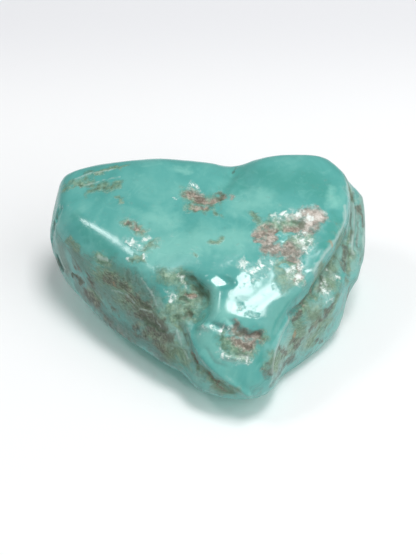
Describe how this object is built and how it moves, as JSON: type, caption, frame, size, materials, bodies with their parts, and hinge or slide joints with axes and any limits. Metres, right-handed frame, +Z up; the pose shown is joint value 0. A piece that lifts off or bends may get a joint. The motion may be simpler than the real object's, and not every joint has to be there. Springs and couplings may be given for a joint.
{
  "type": "raw turquoise nugget",
  "caption": "Heart-shaped tumbled turquoise stone with a lumpy polished top, a rough matrix flank and a flat underside to rest on.",
  "frame": {"origin": "centre of the bounding box in plan, on the flat underside that the stone rests on", "axes": "+Z up, +X along the stone's length from the left shoulder to the right one, -Y towards the pointed nose"},
  "size_m": [0.0432, 0.034, 0.0184],
  "materials": {
    "turquoise": "tumble-polished turquoise with brown and green host-rock matrix in pits and on the flanks"
  },
  "bodies": {
    "root": {"turquoise_nugget": "turquoise"}
  },
  "joints": []
}
